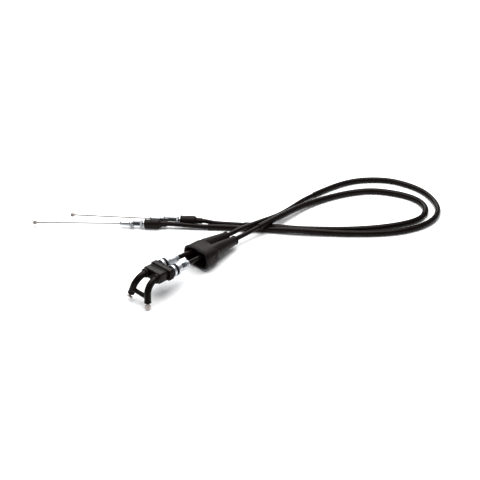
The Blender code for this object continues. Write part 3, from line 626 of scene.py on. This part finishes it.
def strand_wire(length, sides=40, lobes=10, pitch=11.0):
    """A laid wire rope: outer strands that turn about the axis as they go."""
    stops = np.linspace(0.0, length, max(int(length / 0.55), 8))
    vertices = []
    for x in stops:
        for k in range(sides):
            angle = 2 * math.pi * k / sides
            lay = abs(math.cos((angle - 2 * math.pi * x / pitch) * lobes / 2))
            r = WIRE_R * (0.86 + 0.14 * lay)
            vertices.append((x, r * math.cos(angle), r * math.sin(angle)))
    return vertices, capped(len(stops), sides)


NIPPLE_CHAMFER = 0.3
DRILL_R = 1.1


def barrel_nipple(radius, length):
    """A short cross barrel with soft ends, along Z."""
    half = length / 2
    shoulder, narrow = half - NIPPLE_CHAMFER, radius - NIPPLE_CHAMFER
    ends = (-half, 0), (-half, narrow), (-shoulder, radius)
    corners = [*ends, *((-x, r) for x, r in ends[::-1])]
    vertices, faces = lathe(eased(corners, 0.2, closed=False), 56)
    return [(z, y, x) for x, y, z in vertices], faces


def make_nipple(node, radius, length, at):
    """The cross barrel with a countersunk drilling for the wire."""
    body = to_object("nipple", *barrel_nipple(radius, length), "nipple", at)
    floor, mouth = -WIRE_R - GAP, radius + 1
    drill = [(floor, 0), (floor, DRILL_R), (radius - 0.35, DRILL_R), (mouth, DRILL_R + 0.8), (mouth, 0)]
    cut = to_object("drill", *lathe(drill, 40), "nipple", at)
    boolean(body, "DIFFERENCE", [cut])
    body.data.materials.clear()
    body.data.materials.append(LOOKS["nipple"])
    body.data.shade_smooth()
    body.data.set_sharp_from_angle(angle=math.radians(35))
    body.name = f"{node}_fine"
    return stand_for(body, node)


def make_grip_wire(label, side, nipple):
    """The wire's end that stands out of an elbow's tip, with its nipple."""
    radius, length, azimuth = nipple
    tip = in_head(elbow_point(ELBOW_END), side)
    inward = (in_head(elbow_point(ELBOW_END - ELBOW_TAIL), side) - tip).normalized()
    centre = tip - inward * NIPPLE_STAND_OFF
    a = math.radians(azimuth)
    at = HEAD @ Matrix.Translation(centre * MM) @ facing(inward, Vector((math.cos(a), math.sin(a), 0)))
    wire = to_object(f"{label}_grip_wire_fine", *strand_wire(NIPPLE_STAND_OFF + WIRE_INSIDE), "strand", at)
    stand_for(wire, f"{label}_grip_wire")
    make_nipple(f"{label}_grip_nipple", radius, length, at)


# ---------------------------------------------------------------- grip boot


# Powers that square off the cup's section, across and upward
OVAL_POWERS = (0.55, 0.75)
DIMPLE_R = 9.0
DIMPLE_AT = (14.0, 27.2, 4.0)


def oval(x, half_width, half_height, count=72):
    """A section of the cup: an ellipse squared off into an oblong."""
    points = []
    for k in range(count):
        angle = 2 * math.pi * (k + 0.5) / count
        c, s = math.cos(angle), math.sin(angle)
        y = half_width * math.copysign(abs(c) ** OVAL_POWERS[0], c)
        z = half_height * math.copysign(abs(s) ** OVAL_POWERS[1], s)
        points.append((x, y, z))
    return points


def leaning(side, lean):
    """The frame of a leg's outline or bore, with its X along the leaning axis and its origin at the mouth."""
    at_root, at_end, height = lean
    slope = (at_root - at_end) / (LEG_END - LEG_ROOT)
    at = frame_at(HEAD, (BOOT_AT, side * (at_root + slope * LEG_ROOT), height))
    return at @ Matrix.Rotation(-side * math.atan(slope), 4, "Z")


def make_grip_boot():
    """The oblong cup with a rim bead, thumb dimples and two tapered legs with end rings."""
    at = frame_at(HEAD, (BOOT_AT, 0, -CUP_DROP)) @ Matrix.Rotation(math.radians(-BOOT_TILT), 4, "Y")
    cup_steps = (
        (0.0, 19.2, 11.9), (0.5, 19.7, 12.4), (2.4, 19.7, 12.4), (2.6, 18.3, 11.0), (3.4, 18.3, 11.0),
        (3.6, 19.1, 11.8), (12.0, 19.0, 11.7), (19.5, 18.9, 11.6), (22.6, 18.0, 10.8), (24.2, 16.4, 9.4),
    )
    sections = [oval(*step) for step in eased(cup_steps, 0.5, 3, closed=False)]
    boot = to_object("boot", *loft(sections), "boot_rubber", at)
    legs, cuts = [], []
    cavity = [oval(*step) for step in ((-2.0, 17.2, 10.2), (18.5, 16.9, 9.9))]
    cuts.append(to_object("cavity", *loft(cavity), "boot_rubber", at))
    for side in (1.0, -1.0):
        leg = [
            (17.0, 0), (17.0, 8.6), (26.0, 8.6), (38.0, 7.6), (50.0, 6.4), (LEG_END - 3.4, 5.75),
            (LEG_END - 3.0, 5.3), (LEG_END - 2.4, 5.3), (LEG_END - 2.0, 6.0), (LEG_END - 0.5, 6.0),
            (LEG_END, 5.5), (LEG_END, 0),
        ]
        legs.append(to_object("leg", *lathe(leg, 64), "boot_rubber", leaning(side, LEG_LEAN)))
        bore = [(LEG_ROOT, 0), (LEG_ROOT, 7.0), (LEG_END + 1, 4.4), (LEG_END + 1, 0)]
        cuts.append(to_object("bore", *lathe(bore, 56), "boot_rubber", leaning(side, LEG_BORE_LEAN)))
        ball = bpy.data.meshes.new("ball")
        shape = bmesh.new()
        bmesh.ops.create_uvsphere(shape, u_segments=48, v_segments=24, radius=DIMPLE_R * MM)
        shape.to_mesh(ball)
        shape.free()
        dimple = bpy.data.objects.new("dimple", ball)
        x, y, z = DIMPLE_AT
        dimple.matrix_world = at @ Matrix.Translation(Vector((x, side * y, z)) * MM)
        bpy.context.scene.collection.objects.link(dimple)
        cuts.append(dimple)
    boolean(boot, "UNION", legs)
    boolean(boot, "DIFFERENCE", cuts)
    boot.name = "grip_boot_fine"
    return stand_for(soften(boot, 0.32, 3, "boot_rubber"), "grip_boot")


# ---------------------------------------------------------------- carburettor end


NUT_ACROSS_FLATS = 8.0
CARB_NIPPLE = (2.6, 5.6)
CARB_NIPPLE_TURN = 62.0
NUT_TURNS = (("front_nut", 14.0), ("rear_nut", 41.0))


def hexagon(radius, angle):
    """Radius of a hexagon at an angle, from the radius at its corners."""
    sector = math.radians(60.0)
    return radius * math.cos(sector / 2) / math.cos(angle % sector - sector / 2)


def make_nut(node, at):
    """A hexagon nut with the round chamfers that a lathe leaves on its corners."""
    corner, face_r, length = NUT_ACROSS_FLATS / math.sqrt(3), 3.9, 3.0
    rings = [(0.0, 3.3), (0.0, face_r)]
    chamfer = (0.12, 0.24, 0.36, 0.48)
    rings += [(x, corner) for x in chamfer] + [(length - x, corner) for x in chamfer[::-1]]
    rings += [(length, face_r), (length, 3.3), (length - 0.3, 3.05), (0.3, 3.05)]

    def chamfered(x, radius, angle):
        if radius < corner:
            return radius
        edge = min(x, length - x)
        return min(hexagon(corner, angle), face_r + edge * 1.7)

    piece = to_object(f"{node}_fine", *lathe(rings, 96, chamfered), "zinc_dull", at, sharp=28)
    return stand_for(piece, node)


def make_stud(node, front, thread_front, rear, at):
    """The stud: a plain neck, then a rolled thread up to the ferrule."""
    sides, pitch, crest, root = 48, 1.0, 3.0, 2.62
    vertices = []
    stops = [front, front + 0.15, front + 0.3] + list(np.linspace(front + 0.5, thread_front, 4))
    stops += list(np.arange(thread_front + 0.1, rear - 0.35, pitch / 8)) + [rear - 0.3, rear - 0.1, rear]
    for x in stops:
        for k in range(sides):
            angle = 2 * math.pi * k / sides
            if x <= thread_front:
                r = min(crest, 2.75 + (x - front))
            else:
                phase = (x / pitch - k / sides) % 1.0
                depth = abs(2 * phase - 1)
                run_in = min(1.0, (x - thread_front) / 0.8, max(0.0, (rear - x) / 0.5))
                r = crest - (crest - root) * depth * run_in
                r = min(r, 2.75 + (rear - x))
            vertices.append((x, r * math.cos(angle), r * math.sin(angle)))
    count = len(stops)
    for x, r in ((rear, WIRE_BORE_R), (front + 6.3, WIRE_BORE_R), (front + 6.3, 2.4), (front, 2.4)):
        for k in range(sides):
            angle = 2 * math.pi * k / sides
            vertices.append((x, r * math.cos(angle), r * math.sin(angle)))
    piece = to_object(f"{node}_fine", vertices, bridge(count + 4, sides, True), "zinc_thread", at, sharp=50)
    return stand_for(piece, node)


def make_carb_end(label, cable):
    """Stranded wire and nipple, nose tube, stud, nuts, washer, ferrule and boot."""
    at = CARB[label]
    tip, front = cable["nose_tip"], cable["stud_front"]
    wire = to_object(f"{label}_carb_wire_fine", *strand_wire(tip + WIRE_INSIDE), "strand", at)
    stand_for(wire, f"{label}_carb_wire")
    make_nipple(f"{label}_carb_nipple", *CARB_NIPPLE, frame_at(at, turn=CARB_NIPPLE_TURN))

    nose = (
        (tip, 1.15), (tip, 1.8), (tip + 0.5, 2.25), (tip + 1.4, 2.6), (tip + 3.0, 2.8), (front - GAP, 2.8),
        (front - GAP, 2.1), (front + 6.0, 2.1), (front + 6.0, WIRE_BORE_R), (tip + 2.0, WIRE_BORE_R),
    )
    piece = to_object(f"{label}_nose_tube_fine", *lathe(eased(nose, 0.2)), "zinc_dull", at)
    stand_for(piece, f"{label}_nose_tube")
    make_stud(f"{label}_stud", front, cable["thread_front"], cable["ferrule"] - GAP, at)
    for word, turn in NUT_TURNS:
        make_nut(f"{label}_{word}", frame_at(at, (cable[word], 0, 0), turn))
    washer = eased(((0, 3.3), (0, 5.4), (1.2, 5.4), (1.2, 3.3)), 0.22)
    place = frame_at(at, (cable["washer"], 0, 0))
    stand_for(to_object(f"{label}_washer_fine", *lathe(washer), "zinc_dull", place), f"{label}_washer")
    cup = FERRULE_LENGTH - FERRULE_CUP
    ferrule = (
        (0, WIRE_BORE_R), (0, 3.2), (0.4, 3.6), (1.8, 3.6), (2.0, 3.35), (2.5, 3.35), (2.7, 3.6),
        (FERRULE_LENGTH, 3.6), (FERRULE_LENGTH, BORE_R), (cup, BORE_R), (cup, WIRE_BORE_R),
    )
    place = frame_at(at, (cable["ferrule"], 0, 0))
    piece = to_object(f"{label}_ferrule_fine", *lathe(eased(ferrule, 0.15)), "zinc_dull", place)
    stand_for(piece, f"{label}_ferrule")
    boot = (
        (0, 5.0), (0, 5.6), (0.5, 6.0), (2.0, 6.0), (2.5, 5.6), (3.2, 5.6), (9.0, 5.85), (9.4, 6.05),
        (18.6, 6.1), (20.0, 4.7), (21.2, 3.95), (27.6, 3.75), (CARB_BOOT_LENGTH, 3.5),
        (CARB_BOOT_LENGTH, BORE_R), (17.5, BORE_R), (16.5, 5.0),
    )
    place = frame_at(at, (cable["carb_boot"], 0, 0))
    surface = lathe(eased(boot, 0.45, 5), 80)
    piece = to_object(f"{label}_carb_boot_fine", *surface, "boot_rubber", place, sharp=60)
    stand_for(piece, f"{label}_carb_boot")
    return wire


# ---------------------------------------------------------------- cables


def make_conduit(label, path):
    """The conduit as a round cord along its centreline."""
    data = bpy.data.curves.new(f"{label}_conduit_fine", "CURVE")
    data.dimensions = "3D"
    data.bevel_depth = CONDUIT_R * MM
    data.bevel_resolution = 7
    data.use_fill_caps = True
    line = data.splines.new("POLY")
    line.points.add(len(path) - 1)
    for point, place in zip(line.points, path):
        point.co = (*place, 1.0)
    data.materials.append(LOOKS["vinyl"])
    piece = bpy.data.objects.new(f"{label}_conduit_fine", data)
    bpy.context.scene.collection.objects.link(piece)
    return stand_for(piece, f"{label}_conduit")


def make_sleeve(name, path, first, last, radius):
    """A loose tube over the conduit, from one share of its length to another, with rounded lips."""
    along = distances(path)
    start, end = first * along[-1], last * along[-1]
    lip = 0.9 * MM
    middle = np.arange(start + 2 * MM, end - 2 * MM, 2.5 * MM)
    stops = np.concatenate([[start, start + lip / 3, start + lip], middle, [end - lip, end - lip / 3, end]])
    line = np.stack([np.interp(stops, along, path[:, k]) for k in range(3)], axis=1) / MM
    ease = np.minimum(1.0, np.minimum(stops - start, end - stops) / lip)
    outer = radius - 0.35 * (1 - np.sqrt(ease))
    piece = to_object(f"{name}_fine", *tube_along(line, list(outer), BORE_R, 36), "hose", sharp=60)
    return stand_for(piece, name)


# ---------------------------------------------------------------- assembly


make_elbow_pair()
make_grip_boot()
# Radius and length of each grip-end nipple, and its axis's heading in the head's frame
GRIP_NIPPLES = {"pull": (1.5, 6.8, -80.0), "push": (3.3, 3.2, 41.0)}
CARB_WORDS = ("nose_tube", "stud", "front_nut", "washer", "rear_nut", "ferrule", "carb_boot")
for label, cable in CABLES.items():
    make_block_half(label, cable["side"])
    make_adjuster(label, cable["side"])
    make_grip_wire(label, cable["side"], GRIP_NIPPLES[label])
    wire = make_carb_end(label, cable)
    path = conduit_path(label)
    conduit = make_conduit(label, path)
    pieces = [bpy.data.objects[f"{label}_{word}_fine"] for word in CARB_WORDS]
    for name, owner, first, last, radius in SLEEVES:
        if owner == label:
            pieces.append(make_sleeve(name, path, first, last, radius))


# ---------------------------------------------------------------- studio


def make_floor():
    """A square of pale paper under the object, in metres."""
    size = 4.0
    mesh = bpy.data.meshes.new("studio_floor")
    corners = [(-size, -size, 0), (size, -size, 0), (size, size, 0), (-size, size, 0)]
    mesh.from_pydata(corners, [], [(0, 1, 2, 3)])
    paper = bpy.data.materials.new("studio_paper")
    paper.use_nodes = True
    shader = paper.node_tree.nodes["Principled BSDF"]
    shader.inputs["Base Color"].default_value = (0.92, 0.92, 0.92, 1.0)
    shader.inputs["Roughness"].default_value = 0.9
    shader.inputs["Specular IOR Level"].default_value = 0.1
    mesh.materials.append(paper)
    floor = bpy.data.objects.new("studio_floor", mesh)
    bpy.context.scene.collection.objects.link(floor)


def add_softbox(name, location, target, size, power):
    """A rectangular lamp, its size in metres and its power in watts, aimed at the target."""
    light = bpy.data.lights.new(name, "AREA")
    light.shape = "RECTANGLE"
    light.size, light.size_y = size
    light.energy = power
    box = bpy.data.objects.new(name, light)
    box.location = location
    box.rotation_euler = (Vector(target) - Vector(location)).to_track_quat("-Z", "Y").to_euler()
    bpy.context.scene.collection.objects.link(box)


CAMERA_AT = (-0.48875, -0.54519, 0.5592)
CAMERA_TARGET = (0.13695, -0.00129, 0.0)


def make_studio():
    """The floor, two softboxes, a pale surround and the camera, in metres."""
    make_floor()
    middle = (0.15, 0.0, 0.0)
    add_softbox("overhead", (0.25, 0.10, 0.95), middle, (1.15, 0.85), 19.0)
    add_softbox("back", (0.95, 0.85, 0.90), middle, (1.0, 0.7), 11.0)
    world = bpy.data.worlds.new("studio")
    world.use_nodes = True
    world.node_tree.nodes["Background"].inputs["Color"].default_value = (0.97, 0.98, 1.0, 1.0)
    world.node_tree.nodes["Background"].inputs["Strength"].default_value = 0.4
    bpy.context.scene.world = world
    bpy.context.scene.view_settings.view_transform = "Standard"
    lens = bpy.data.cameras.new("camera")
    lens.lens = 60.0
    lens.sensor_width = 36.0
    camera = bpy.data.objects.new("camera", lens)
    camera.location = CAMERA_AT
    sight = Vector(CAMERA_TARGET) - camera.location
    camera.rotation_euler = sight.to_track_quat("-Z", "Y").to_euler()
    bpy.context.scene.collection.objects.link(camera)
    bpy.context.scene.camera = camera


make_studio()
